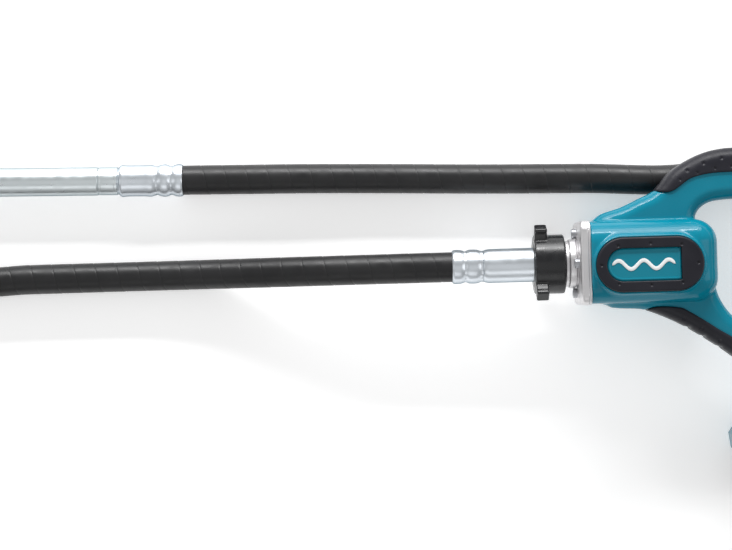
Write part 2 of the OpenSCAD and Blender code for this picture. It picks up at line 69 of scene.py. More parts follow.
def at_head(p):
    """Head coordinates (u along the head, s up its left side, t across) to drive unit coordinates."""
    p = np.asarray(p, float)
    along = np.array([-math.cos(TURN), -math.sin(TURN), 0])
    side = np.array([math.sin(TURN), -math.cos(TURN), 0])
    return HOSE_END + p[..., :1] * along + p[..., 1:2] * side + p[..., 2:3] * np.array([0, 0, 1])


# ---- camera, lights and floor ----

CAMERA_AT = (-195.05, -4.56, 1840.5)
CAMERA_ROLL = math.radians(-1.7)


def make_camera():
    """Looks straight down on the tool's left side."""
    data = bpy.data.cameras.new("camera")
    data.lens, data.sensor_width = 105.0, 36.0
    cam = bpy.data.objects.new("camera", data)
    cam.location = place(CAMERA_AT)
    cam.rotation_euler = (0, 0, CAMERA_ROLL)
    SCENE.collection.objects.link(cam)
    SCENE.camera = cam


# name: place, aim, size (all in metres) and watts
LIGHTS = {
    "key": ((0.1, 1.75, 0.5), (0.1, 0, 0), (2.4, 0.6), 28),
    "strip": ((0.1, 1.6, 0.8), (0.1, 0, 0), (1.6, 0.08), 19),
    "fill": ((-0.2, -1.5, 1.4), (0.1, 0, 0), (1.8, 0.9), 3.5),
    "over": ((0.0, -0.3, 2.6), (0.05, 0.0, 0), (2.4, 1.6), 3),
    "right": ((1.7, 0.0, 1.2), (0.3, 0, 0), (0.8, 1.4), 4),
    "left": ((-1.9, 0.0, 1.2), (-0.1, 0, 0), (0.8, 1.4), 2),
}
WORLD_LIGHT, FLOOR_GLOW, FLOOR_HALF = 0.4, 0.42, 25.0


def area_light(name, location, target, size, watts):
    data = bpy.data.lights.new(name, "AREA")
    data.shape, data.size, data.size_y = "RECTANGLE", size[0], size[1]
    data.energy = watts
    o = bpy.data.objects.new(name, data)
    o.location = location
    o.rotation_euler = (Vector(target) - Vector(location)).to_track_quat("-Z", "Y").to_euler()
    SCENE.collection.objects.link(o)


def make_stage():
    """Soft studio light, and a pale floor that glows a little so that its shadows stay light."""
    world = bpy.data.worlds.new("studio")
    SCENE.world = world
    world.use_nodes = True
    world.node_tree.nodes["Background"].inputs["Color"].default_value = (1, 1, 1, 1)
    world.node_tree.nodes["Background"].inputs["Strength"].default_value = WORLD_LIGHT
    SCENE.view_settings.view_transform = "Standard"
    for name, (location, target, size, watts) in LIGHTS.items():
        area_light(name, location, target, size, watts)
    bm = bmesh.new()
    bmesh.ops.create_grid(bm, x_segments=2, y_segments=2, size=FLOOR_HALF)
    mesh = bpy.data.meshes.new("floor")
    bm.to_mesh(mesh)
    floor = bpy.data.objects.new("floor", mesh)
    floor.location.z = -0.0003
    SCENE.collection.objects.link(floor)
    paint = material("floor", (0.9, 0.9, 0.9), 0.8, grain=(1.5, 0.0002), spec=0.1, blotch=0.0)
    bsdf = paint.node_tree.nodes["Principled BSDF"]
    bsdf.inputs["Emission Color"].default_value = (1, 1, 1, 1)
    bsdf.inputs["Emission Strength"].default_value = FLOOR_GLOW
    mesh.materials.append(paint)


# ---- materials ----

def material(name, colour, rough, metal=0.0, grain=(0.5, 0.02), blotch=0.06, spread=0.08,
             coat=0.0, brushed=None, edge=0.0, specks=0.0, spec=0.5, tint=(1, 1, 1)):
    """Procedural finish: colour drift, roughness drift, fine grain, worn edges and fine scratches.
    grain is (size in mm, depth in mm); brushed is the axis the fine turning lines run round."""
    m = bpy.data.materials.new(name)
    m.use_nodes = True
    nt = m.node_tree
    n, link = nt.nodes, nt.links.new
    bsdf = n["Principled BSDF"]
    bsdf.inputs["Metallic"].default_value = metal
    bsdf.inputs["Coat Weight"].default_value = coat
    bsdf.inputs["Coat Roughness"].default_value = 0.12
    bsdf.inputs["Specular IOR Level"].default_value = spec
    bsdf.inputs["Specular Tint"].default_value = (*tint, 1)
    coord = n.new("ShaderNodeTexCoord")
    scale = n.new("ShaderNodeMapping")
    scale.inputs["Scale"].default_value = (1000, 1000, 1000)
    link(coord.outputs["Object"], scale.inputs["Vector"])

    def noise(size, detail=3.0, vector=None):
        t = n.new("ShaderNodeTexNoise")
        t.inputs["Scale"].default_value = 1.0 / size
        t.inputs["Detail"].default_value = detail
        link(vector or scale.outputs["Vector"], t.inputs["Vector"])
        return t.outputs["Fac"]

    def ramp(fac, a, b, lo=0.3, hi=0.7):
        r = n.new("ShaderNodeMapRange")
        r.inputs["From Min"].default_value, r.inputs["From Max"].default_value = lo, hi
        r.inputs["To Min"].default_value, r.inputs["To Max"].default_value = a, b
        link(fac, r.inputs["Value"])
        return r.outputs["Result"]

    def mix(fac, a, b):
        x = n.new("ShaderNodeMix")
        x.data_type = "RGBA"
        for socket, value in ((x.inputs[0], fac), (x.inputs[6], a), (x.inputs[7], b)):
            if isinstance(value, (tuple, float, int)):
                socket.default_value = (*value, 1) if isinstance(value, tuple) else value
            else:
                link(value, socket)
        return x.outputs[2]

    dark = tuple(c * (1 - blotch) for c in colour)
    light = tuple(min(1, c * (1 + blotch) + 0.004) for c in colour)
    tone = mix(ramp(noise(38, 2), 0, 1), dark, light)
    if specks:
        tone = mix(ramp(noise(1.3, 4), 0, specks, 0.56, 0.75), tone, tuple(c * 0.45 for c in colour))
    if edge:
        geo = n.new("ShaderNodeNewGeometry")
        worn = ramp(geo.outputs["Pointiness"], 0, edge, 0.51, 0.57)
        tone = mix(worn, tone, tuple(min(1, c * 1.7 + 0.05) for c in colour))
    link(tone, bsdf.inputs["Base Color"])
    link(ramp(noise(9, 4), max(rough - spread, 0.03), min(rough + spread, 1)), bsdf.inputs["Roughness"])
    bump = n.new("ShaderNodeBump")
    bump.inputs["Distance"].default_value = grain[1] * 0.001
    bump.inputs["Strength"].default_value = 1.0
    height = noise(grain[0], 2)
    if brushed is not None:
        lines = n.new("ShaderNodeMapping")
        lines.inputs["Scale"].default_value = [5000 if axis == brushed else 90 for axis in range(3)]
        link(coord.outputs["Object"], lines.inputs["Vector"])
        height = noise(1.0, 3, lines.outputs["Vector"])
    link(height, bump.inputs["Height"])
    link(bump.outputs["Normal"], bsdf.inputs["Normal"])
    return m


MATS = {
    "housing": dict(colour=(0.0, 0.198, 0.285), rough=0.16, grain=(0.7, 0.004), blotch=0.03,
                    spread=0.04, edge=0.1, spec=0.25),
    "soft_grip": dict(colour=(0.012, 0.012, 0.018), rough=0.4, grain=(0.35, 0.02), blotch=0.1,
                      edge=0.2, specks=0.1, spec=0.25),
    "badge": dict(colour=(0.0, 0.2, 0.28), rough=0.2, grain=(0.8, 0.004), blotch=0.02,
                  spec=0.3, edge=0.2),
    "cast_alu": dict(colour=(0.74, 0.73, 0.74), rough=0.42, metal=1.0, grain=(0.5, 0.02),
                     blotch=0.05, edge=0.1, specks=0.04),
    "bright_steel": dict(colour=(0.78, 0.84, 0.86), rough=0.34, metal=1.0, brushed=0,
                         grain=(0.3, 0.0008), blotch=0.04, tint=(0.04, 0.1, 0.12)),
    "plated": dict(colour=(0.8, 0.85, 0.9), rough=0.31, metal=1.0, grain=(0.6, 0.0015), blotch=0.05,
                   spread=0.04, tint=(0.04, 0.1, 0.12)),
    "dark_steel": dict(colour=(0.36, 0.37, 0.39), rough=0.36, metal=1.0, grain=(0.3, 0.01),
                       edge=0.5),
    "knob": dict(colour=(0.006, 0.0065, 0.008), rough=0.26, grain=(0.5, 0.01), blotch=0.12,
                 edge=0.2, spec=0.55),
    "black_plastic": dict(colour=(0.02, 0.02, 0.022), rough=0.45, grain=(0.4, 0.03), blotch=0.12,
                          edge=0.3),
    "hose": dict(colour=(0.011, 0.011, 0.012), rough=0.4, grain=(0.5, 0.02), blotch=0.15,
                 specks=0.2, spec=0.4),
    "copper": dict(colour=(0.6, 0.25, 0.1), rough=0.3, metal=1.0, grain=(0.5, 0.01)),
    "pale_plastic": dict(colour=(0.86, 0.87, 0.87), rough=0.4, grain=(0.5, 0.01), blotch=0.03),
    "board": dict(colour=(0.02, 0.14, 0.05), rough=0.3, grain=(1.2, 0.02), coat=0.5),
    "wire": dict(colour=(0.4, 0.02, 0.015), rough=0.4, grain=(1.0, 0.01)),
    "cell": dict(colour=(0.03, 0.13, 0.3), rough=0.3, grain=(2.0, 0.02)),
    "red": dict(colour=(0.5, 0.02, 0.012), rough=0.35, grain=(0.5, 0.015), edge=0.3),
}
MAT = {k: material(k, **v) for k, v in MATS.items()}

# ---- mesh helpers ----


def make_object(name, verts, faces, slot, body="drive_unit", nodes=(), sharp=32.0):
    """A piece from points in millimetres, smooth but for edges sharper than `sharp` degrees."""
    mesh = bpy.data.meshes.new(name)
    mesh.from_pydata(place(verts).tolist(), [], [list(map(int, f)) for f in faces])
    bm = bmesh.new()
    bm.from_mesh(mesh)
    bmesh.ops.remove_doubles(bm, verts=bm.verts, dist=1e-6)
    bmesh.ops.recalc_face_normals(bm, faces=bm.faces)
    for f in bm.faces:
        f.smooth = True
    for e in bm.edges:
        if len(e.link_faces) == 2 and e.calc_face_angle(0) > math.radians(sharp):
            e.smooth = False
    bm.to_mesh(mesh)
    bm.free()
    o = bpy.data.objects.new(name, mesh)
    SCENE.collection.objects.link(o)
    mesh.materials.append(MAT[slot])
    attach(o, body)
    if nodes:
        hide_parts(*nodes)
    return o


def join_parts(parts):
    """Several (points, faces) as one."""
    verts, faces, base = [], [], 0
    for v, f in parts:
        verts.append(np.asarray(v, float))
        faces += [[i + base for i in face] for face in f]
        base += len(v)
    return np.concatenate(verts), faces


def ring_faces(rings, sides, wrap=False):
    """Faces between rings of points: capped at both ends, or joined end to end if wrap."""
    faces = []
    for k in range(rings if wrap else rings - 1):
        a, b = k * sides, ((k + 1) % rings) * sides
        for j in range(sides):
            m = (j + 1) % sides
            faces.append([a + j, a + m, b + m, b + j])
    if not wrap:
        faces.append(list(range(sides))[::-1])
        faces.append([(rings - 1) * sides + j for j in range(sides)])
    return faces


def fillet(profile, radius, steps=3):
    """Rounds the corners of an open profile of (r, x) points."""
    out = [profile[0]]
    for a, b, c in zip(profile, profile[1:], profile[2:]):
        a, b, c = (np.asarray(q, float) for q in (a, b, c))
        la, lc = np.linalg.norm(a - b), np.linalg.norm(c - b)
        r = min(radius, la * 0.4, lc * 0.4)
        p, q = b + (a - b) / la * r, b + (c - b) / lc * r
        for i in range(steps + 1):
            t = i / steps
            out.append(tuple((1 - t) ** 2 * p + 2 * t * (1 - t) * b + t * t * q))
    out.append(profile[-1])
    return out


def lathe(profile, sides, wobble=None):
    """Closed profile of (r, x) points turned about X. Returns points and faces."""
    angle = np.linspace(0, 2 * math.pi, sides, endpoint=False)
    verts = []
    for r, x in profile:
        rr = r * np.ones(sides) if wobble is None else wobble(r, x, angle)
        verts.append(np.stack([np.full(sides, x), rr * np.sin(angle), rr * np.cos(angle)], 1))
    return np.concatenate(verts), ring_faces(len(profile), sides, wrap=True)


# ---- smooth moulded shapes: distance fields meshed with surface nets ----

def polygon_distance(x, y, poly):
    """Signed distance in the plane, negative inside."""
    p = np.asarray(poly, float)
    q = np.roll(p, -1, 0)
    best = np.full(x.shape, 1e18)
    inside = np.zeros(x.shape, bool)
    for (ax, ay), (bx, by) in zip(p, q):
        ex, ey = bx - ax, by - ay
        t = np.clip(((x - ax) * ex + (y - ay) * ey) / (ex * ex + ey * ey), 0, 1)
        best = np.minimum(best, (x - ax - t * ex) ** 2 + (y - ay - t * ey) ** 2)
        if ey != 0:
            cross = ((ay > y) != (by > y)) & (x < ax + ex * (y - ay) / ey)
            inside ^= cross
    d = np.sqrt(best)
    return np.where(inside, -d, d)


def smin(a, b, k):
    """Union of two shapes with a fillet about k wide."""
    h = np.clip(0.5 + 0.5 * (b - a) / k, 0, 1)
    return b * (1 - h) + a * h - k * h * (1 - h)


def smax(a, b, k):
    """Overlap of two shapes with an edge rounded about k wide; smax(a, -b, k) cuts b out of a."""
    return -smin(-a, -b, k)


def slab(d2, z, half, r):
    """A plane shape of signed distance d2 made into a plate |z| < half with edges of radius r."""
    u, v = d2 + r, np.abs(z) - half + r
    return np.minimum(np.maximum(u, v), 0) + np.hypot(np.maximum(u, 0), np.maximum(v, 0)) - r


def round_box(p, centre, half, r):
    q = [np.abs(p[i] - centre[i]) - half[i] + r for i in range(3)]
    out = np.sqrt(sum(np.maximum(c, 0) ** 2 for c in q))
    return out + np.minimum(np.maximum(np.maximum(q[0], q[1]), q[2]), 0) - r


def stadium(x, y, cx, cy, hx, hy):
    """Distance to a slot shape along X: half its length is hx, half its width and end radius hy."""
    return np.hypot(np.maximum(np.abs(x - cx) - (hx - hy), 0), y - cy) - hy


def surface_net(field, lo, hi, h, rounds=4):
    """Mesh of field(p) = 0, p being three arrays in millimetres. Points are moved onto the surface."""
    axes = [np.arange(lo[i] - h, hi[i] + 2 * h, h) for i in range(3)]
    shape = [len(a) for a in axes]
    grid = np.empty(shape, np.float32)
    step = max(1, int(3e5 / (shape[1] * shape[2])))
    for i in range(0, shape[0], step):
        x, y, z = np.meshgrid(axes[0][i:i + step], axes[1], axes[2], indexing="ij")
        grid[i:i + step] = field((x, y, z))
    # one point per cell that the surface crosses, at the mean of its edges' crossings
    neg = grid < 0
    c = [s - 1 for s in shape]
    total = np.zeros((*c, 3), np.float32)
    count = np.zeros(c, np.float32)

    def corner(a, i, j, k):
        return a[i:i + c[0], j:j + c[1], k:k + c[2]]

    for axis in range(3):
        for u in (0, 1):
            for v in (0, 1):
                o = [0, 0, 0]
                o[(axis + 1) % 3], o[(axis + 2) % 3] = u, v
                e = list(o)
                e[axis] = 1
                a, b = corner(grid, *o), corner(grid, *e)
                hit = corner(neg, *o) != corner(neg, *e)
                t = np.where(hit, a / np.where(hit, a - b, 1), 0)
                for k in range(3):
                    total[..., k] += np.where(hit, o[k] + (t if k == axis else 0), 0)
                count += hit
    used = count > 0
    index = np.full(c, -1, np.int64)
    index[used] = np.arange(used.sum())
    cell = np.argwhere(used)
    origin = np.array([a[0] for a in axes])
    verts = origin + (cell + total[used] / count[used][:, None]) * h
    # one face per grid edge that the surface crosses, between the four cells round it
    faces = []
    for axis in range(3):
        u, v = (axis + 1) % 3, (axis + 2) % 3
        sl_a = [slice(None)] * 3
        sl_b = [slice(None)] * 3
        sl_a[axis], sl_b[axis] = slice(0, -1), slice(1, None)
        change = neg[tuple(sl_a)] != neg[tuple(sl_b)]
        at = np.argwhere(change)
        ok = (at[:, u] > 0) & (at[:, v] > 0) & (at[:, u] < c[u]) & (at[:, v] < c[v])
        at = at[ok]
        flip = neg[tuple(sl_a)][tuple(at.T)]
        quad = []
        for du, dv in ((-1, -1), (0, -1), (0, 0), (-1, 0)):
            q = at.copy()
            q[:, u] += du
            q[:, v] += dv
            quad.append(index[tuple(q.T)])
        quad = np.stack(quad, 1)
        quad[~flip] = quad[~flip][:, ::-1]
        faces.append(quad[(quad >= 0).all(1)])
    faces = np.concatenate(faces)
    # Newton steps along the field's slope
    verts = verts.astype(float)
    e = 0.08 * h
    for _ in range(rounds):
        f0 = field(tuple(verts.T))
        g = np.empty_like(verts)
        for k in range(3):
            up, down = verts.copy(), verts.copy()
            up[:, k] += e
            down[:, k] -= e
            g[:, k] = (field(tuple(up.T)) - field(tuple(down.T))) / (2 * e)
        g2 = np.maximum((g * g).sum(1), 0.05)
        verts -= np.clip((f0 / g2)[:, None] * g, -0.6 * h, 0.6 * h)
    return verts, faces


def moulded(name, field, lo, hi, h, slot, body="drive_unit", nodes=(), sharp=50.0, mirror=False):
    """A piece from a distance field within lo and hi, in cells of h, or its mirror image in Z."""
    v, f = surface_net(field, lo, hi, h)
    if mirror:
        v[:, 2] *= -1
    return make_object(name, v, f, slot, body, nodes, sharp)


class Plane:
    """A distance in the side view, kept in a table and read back between its points."""

    def __init__(self, fn, lo, hi, step=0.5):
        self.lo, self.step = np.array(lo, float), step
        self.x = np.arange(lo[0], hi[0] + step, step)
        self.y = np.arange(lo[1], hi[1] + step, step)
        gx, gy = np.meshgrid(self.x, self.y, indexing="ij")
        self.table = fn(gx, gy)

    def __call__(self, x, y):
        u = np.clip((x - self.lo[0]) / self.step, 0, len(self.x) - 1.001)
        v = np.clip((y - self.lo[1]) / self.step, 0, len(self.y) - 1.001)
        i, j = u.astype(int), v.astype(int)
        a, b = u - i, v - j
        t = self.table
        return ((t[i, j] * (1 - a) + t[i + 1, j] * a) * (1 - b)
                + (t[i, j + 1] * (1 - a) + t[i + 1, j + 1] * a) * b)


def flowing(poly, sharp=65.0, steps=5):
    """Smooth closed outline through the points, with corners only where the outline turns sharply."""
    p = np.asarray(poly, float)
    n = len(p)
    out = []
    tangent, corner = [], []
    for i in range(n):
        a, b, c = p[i - 1], p[i], p[(i + 1) % n]
        u, v = (b - a) / np.linalg.norm(b - a), (c - b) / np.linalg.norm(c - b)
        corner.append(math.degrees(math.acos(np.clip(u @ v, -1, 1))) > sharp)
        tangent.append((c - a) / np.linalg.norm(c - a))
    for i in range(n):
        b, c = p[i], p[(i + 1) % n]
        length = np.linalg.norm(c - b)
        direct = (c - b) / length
        m0 = (direct if corner[i] else tangent[i]) * length
        m1 = (direct if corner[(i + 1) % n] else tangent[(i + 1) % n]) * length
        for k in range(steps):
            t = k / steps
            out.append((2 * t**3 - 3 * t**2 + 1) * b + (t**3 - 2 * t**2 + t) * m0
                       + (3 * t**2 - 2 * t**3) * c + (t**3 - t**2) * m1)
    return np.array(out)


# ---- outlines of the drive unit in side view ----

FRONT = -4.0                  # front face of the housing
RING_X, RING_Y = 44.5, -2.5   # middle of the side boss, bumper ring and side plate
BUTTON_X, BUTTON_Y = 178, 64  # lock button
HANDLE = [
    (-4, -30), (-4, 31), (-1, 34.5), (3.5, 38.5), (9, 42), (25.5, 47), (40, 53.5),
    (54, 60.3), (69, 76.6), (84, 86), (98, 92), (113, 95),
    (126, 95.5), (178, 95.5), (204, 91), (224, 80), (236, 62), (240, 40), (240, -150),
    (152, -150), (148, -130), (152, -114), (118, -83.5), (93, -66), (73, -54), (52, -44.5),
    (40, -41), (17, -39.3), (10.5, -36.5)]
OPENING = [
    (97, 27), (91, 32), (89, 37), (93, 44), (101, 49), (112, 51), (124, 51.5), (180, 51.5),
    (196, 47), (204, 36), (206, 20), (206, -84), (201, -97), (190, -104), (176, -98),
    (119, -49), (109, -35), (105, -22), (105, 12), (102, 21)]
GRIP = [
    (40, 62), (54, 60.4), (58, 59), (64, 58.2), (70, 59.5), (76, 63.5), (84, 69), (94, 72),
    (106, 73.6), (124, 74), (186, 74), (200, 76), (215, 84), (222, 110), (40, 110)]
ARM = [
    (43.6, -41.8), (53, -38.9), (73, -39.9), (80, -43.3), (94, -52.1), (106, -60.1),
    (119, -68.2), (146, -92), (160, -106), (160, -125), (30, -125), (30, -50)]
BASE = [(119, -152), (126, -142), (152, -136), (236, -132), (240, -136), (240, -166), (121, -166)]
SCREWS = [(44, 47), (84, 60), (196, 62), (229, 20), (229, -80), (128, -74), (150, -94)]
GRIP_DIMPLES = [
    (75.5, 68.8), (82, 76.3), (96, 82), (111.5, 86), (90.5, 74.3), (105.5, 77.5), (119.5, 79),
    (127, 87.5), (143, 88), (159, 88), (175, 87.5), (135, 79.5), (151, 79.5), (167, 79.5),
    (183, 79.5), (190, 86.5), (201, 83.5), (208, 88)]
ARM_DIMPLES = [(75.6, -49.6), (106, -69.7), (90.5, -58.5), (122, -79.5), (137, -93)]
NOTCHES = [(80.5, -58.3), (93.3, -66.4), (106.9, -76.2), (121, -87), (135, -99)]

SIDE_VIEW = ((-16, -176), (252, 108))   # lowest and highest x and y of the tables below
handle_plane = Plane(lambda x, y: np.maximum(polygon_distance(x, y, flowing(HANDLE)),
                                             -polygon_distance(x, y, flowing(OPENING))), *SIDE_VIEW)
grip_plane = Plane(lambda x, y: polygon_distance(x, y, flowing(GRIP)), *SIDE_VIEW)
arm_plane = Plane(lambda x, y: polygon_distance(x, y, flowing(ARM)), *SIDE_VIEW)
base_plane = Plane(lambda x, y: polygon_distance(x, y, flowing(BASE, 30)), *SIDE_VIEW)


def box_cut(p, x1, x2, y1, y2, half_z, r=0.6):
    """Rounded box from x1 to x2 and y1 to y2, centred in Z."""
    c = ((x1 + x2) / 2, (y1 + y2) / 2, 0)
    return round_box(p, c, ((x2 - x1) / 2, (y2 - y1) / 2, half_z), r)


def body_shape(p):
    """Outside of the whole housing: handle web, motor barrel, side bosses and battery base. The
    web is cut back by the soft skins' thickness where they lie on it."""
    x, y, z = p
    soft = np.minimum(grip_plane(x, y), arm_plane(x, y))
    inset = 2.6 * np.clip(0.5 - soft / 0.8, 0, 1)
    web = slab(handle_plane(x, y) + inset, z, 16, 11)
    barrel = round_box(p, (37.5, 0, 0), (67.5, 35, 38), 20)
    shape = smin(barrel, web, 2.4)
    boss = slab(stadium(x, y, RING_X, RING_Y, 47.2, 24.8), z, 42, 2.2)
    shape = smin(shape, boss, 3.5)
    base = slab(base_plane(x, y), z, 43, 7)
    return smin(shape, base, 6)


def housing_field(side):
    """One half of the housing, a 3 mm shell with screw posts; side is 1 for the left half."""
    def field(p):
        x, y, z = p
        shape = body_shape(p)
        outer = smax(shape, FRONT - x, 1.5)
        inner = np.maximum(shape + 3, -154.6 - y)
        for sx, sy in SCREWS:
            inner = np.maximum(inner, 4.6 - np.hypot(x - sx, y - sy))
        f = np.maximum(outer, -inner)
        # battery slot: tongue, neck and catch
        f = smax(f, -box_cut(p, 127.5, 260, -162.4, -157.6, 30.3), 0.5)
        f = smax(f, -box_cut(p, 127.5, 260, -175, -162.4, 26.3), 0.5)
        f = np.maximum(f, -box_cut(p, 226.6, 260, -158, -154, 9))
        # trigger window, and a fine line round the base
        f = smax(f, -box_cut(p, 126.5, 167.5, 46, 57, 8.9), 0.8)
        groove = np.maximum(np.abs(y + 149.5) - 0.45, 119 - x)
        f = np.where(z > 30, np.maximum(f, -np.maximum(groove, -(shape + 0.7))), f)
        # lock button's hole on the left, screw holes on the right
        if side > 0:
            f = smax(f, -np.maximum(np.hypot(x - BUTTON_X, y - BUTTON_Y) - 5.6, 4 - z), 0.8)
        else:
            for sx, sy in SCREWS:
                r = np.hypot(x - sx, y - sy)
                f = smax(f, -np.maximum(r - 3.9, 13 - z), 0.5)
                f = np.maximum(f, -(r - 2))
        return smax(f, 0.1 - z, 0.7)
    return field


def soft_field(area, dimples, notches=()):
    """Half of a soft skin on the handle, with moulded dimples and notches in its edge."""
    def field(p):
        x, y, z = p
        outer = slab(handle_plane(x, y), z, 18, 11)
        f = smax(outer, area(x, y) + 0.25, 2.2)
        for dx, dy in dimples:
            f = f + 1.1 * np.exp(-((x - dx) ** 2 + (y - dy) ** 2) / 1.25**2)
        for nx, ny in notches:
            f = f + 1.5 * np.exp(-((x - nx) ** 2 + (y - ny) ** 2) / 1.6**2)
        f = np.maximum(f, -(body_shape(p) - 0.08))
        return smax(f, 0.1 - z, 0.5)
    return field


def drive_unit():
    for side, word in ((1, "left"), (-1, "right")):
        flip = side < 0
        moulded("housing_shell_" + word, housing_field(side), (-4, -166, 0), (240, 96, 43), 1.2,
                "housing", nodes=("housing_" + word,), sharp=42, mirror=flip)
        moulded("grip_skin_" + word, soft_field(grip_plane, GRIP_DIMPLES), (40, 56, 0),
                (222, 96, 18.2), 0.7, "soft_grip", nodes=("grip_rubber_" + word,), mirror=flip)
        moulded("arm_skin_" + word, soft_field(arm_plane, ARM_DIMPLES, NOTCHES), (40, -118, 0),
                (156, -38, 18.2), 0.7, "soft_grip", nodes=("arm_rubber_" + word,), mirror=flip)
        moulded("bumper_ring_" + word, bumper_field, (-2, -26, 41.6), (91, 21, 46.2), 0.5,
                "soft_grip", nodes=("bumper_" + word,), mirror=flip)
        moulded("badge_plate_" + word, badge_field, (7, -17, 41.8), (72, 12, 43.8), 0.5,
                "badge", nodes=("badge_" + word,), mirror=flip)
        wave_mark("badge_wave_" + word, flip)
        ring_lip("housing_lip_" + word, flip)
    moulded("base_cushions_left", pad_field, (134, -158, 42.4), (226, -140, 46.1), 0.7,
            "soft_grip", nodes=("base_pads",))
    moulded("base_cushions_right", pad_field, (134, -158, 42.4), (226, -140, 46.1), 0.7,
            "soft_grip", mirror=True)


DOTS = [(17.6, 13.5), (44.9, 15), (71.2, 13.5), (84.9, -2.5), (71.2, -18.6), (44.9, -20.1),
        (17.6, -18.6), (3.4, -2.5)]


def badge_side(x, y):
    """Outline of the side plate: round in front, cut square at the rear."""
    return np.maximum(stadium(x, y, RING_X, RING_Y, 36.4, 14), x - 70.8)


def bumper_field(p):
    """Rubber ring round the side plate, with its dots."""
    x, y, z = p
    ring = stadium(x, y, RING_X, RING_Y, 45.4, 23)
    f = slab(ring, z, 46, 1.6)
    f = smax(f, 42.02 - z, 0.3)
    f = smax(f, -(badge_side(x, y) - 0.1), 1.0)
    for dx, dy in DOTS:
        f = f + 1.2 * np.exp(-((x - dx) ** 2 + (y - dy) ** 2) / 1.15**2)
    return f


def badge_field(p):
    """Side plate with a raised rim."""
    x, y, z = p
    d = badge_side(x, y) + 0.15
    rim = 0.45 * np.exp(-((d + 1.6) / 0.7) ** 2)
    return smax(smax(d, z - 43.35 - rim, 0.7), 42.02 - z, 0.2)


def pad_field(p):
    """Grooved rubber pad on the side of the base."""
    x, y, z = p
    d = np.hypot(np.maximum(np.abs(x - 180) - 38, 0), np.maximum(np.abs(y + 149) - 2, 0)) - 6
    f = smax(slab(d, z, 46, 1.4), 42.6 - z, 0.3)
    groove = np.abs((x - 180 + 5.5) % 11 - 5.5) - 0.7
    return smax(f, -np.maximum(groove, 45.1 - z), 0.4)


def ring_lip(name, flip):
    """Rounded lip of the housing round the bumper ring."""
    sides, rings = 10, 120
    long_half, r, wire, height = 46.35, 23.95, 0.85, 42.1
    straight = long_half - r
    a = np.linspace(0, 2 * math.pi, rings, endpoint=False)
    path = np.c_[RING_X + np.sign(np.cos(a)) * straight + r * np.cos(a), RING_Y + r * np.sin(a)]
    out = np.c_[np.cos(a), np.sin(a)]
    verts = []
    for k in range(rings):
        for j in range(sides):
            b = 2 * math.pi * j / sides
            p = path[k] + out[k] * wire * math.cos(b)
            z = height + wire * math.sin(b)
            verts.append((p[0], p[1], -z if flip else z))
    make_object(name, verts, ring_faces(rings, sides, wrap=True), "housing")


def wave_mark(name, flip):
    """Plain wave laid on the side plate, with rounded ends."""
    t = np.linspace(0, 1, 61)
    x = 12.5 + 53 * t
    y = -2.6 + 3.6 * np.sin(t * math.pi * 5)
    slope = np.arctan2(np.gradient(y), np.gradient(x))
    w = 1.5 * np.sqrt(np.clip(1 - (2 * t - 1) ** 20, 0.02, 1)) * (0.75 + 0.35 * np.cos(slope))
    nx, ny = -np.sin(slope), np.cos(slope)
    verts, faces = [], []
    sections = ((-1, 43.2), (-1, 43.62), (-0.82, 43.78), (0.82, 43.78), (1, 43.62), (1, 43.2))
    for k in range(len(t)):
        for s, z in sections:
            verts.append((x[k] + nx[k] * w[k] * s, y[k] + ny[k] * w[k] * s, -z if flip else z))
    faces = ring_faces(len(t), len(sections))
    make_object(name, verts, faces, "pale_plastic", sharp=60)


# ---- clamp knob, front plate, sleeve and ferrules ----

def knob_field(p):
    """Clamp knob: drum, hub in front of it and three ears with a groove round each tip."""
    x, y, z = p
    r = np.hypot(y, z)
    f = slab(r - 25.5, x + 37.35, 13.05, 1.8)
    hub = slab(r - 19.5, x + 45.8, 5.4, 1.0)
    f = smin(f, hub, 0.8)
    for k in range(3):
        a = math.radians(23 + 120 * k)
        u, v = y * math.cos(a) + z * math.sin(a), -y * math.sin(a) + z * math.cos(a)
        ear = round_box((x, u, v), (-44.65, 27, 0), (5.35, 8, 6), 1.6)
        core = np.maximum(np.abs(v) - 5.4, np.abs(x + 44.65) - 4.8)
        cut = np.maximum(np.abs(u - 31.4) - 0.5, -core)
        f = smin(f, smax(ear, -cut, 0.5), 1.6)
    f = smax(f, -(r - 14.95), 0.6)
    return smax(f, -np.maximum(r - 16.8, -46.7 - x), 0.5)


def flange_field(p):
    """Front plate: square with bevelled front, round hub and four screw bosses."""
    x, y, z = p
    r = np.hypot(y, z)
    d = np.hypot(np.maximum(np.abs(y) - 26, 0), np.maximum(np.abs(z) - 26, 0)) - 10
    plate = smin(slab(d, x + 8.5, 4.5, 3.4), slab(d, x + 6.2, 2.2, 0.9), 0.3)
    lip = np.maximum(np.abs(x + 6.1) - 0.28, -(d + 0.5))
    f = smax(plate, -lip, 0.4)
    f = smin(f, slab(r - 20, x + 9.5, 5, 0.8), 1.2)
    for k in range(4):
        a = k * math.pi / 2
        s = np.hypot(y - 25.5 * math.cos(a), z - 25.5 * math.sin(a))
        f = smax(f, -(s - 2.6), 0.3)
        f = smin(f, slab(s - 6.4, x + 10, 3.6, 0.6), 1.0)
        f = smax(f, -(s - 2.6), 0.3)
    return smax(f, -(r - 15.1), 0.5)


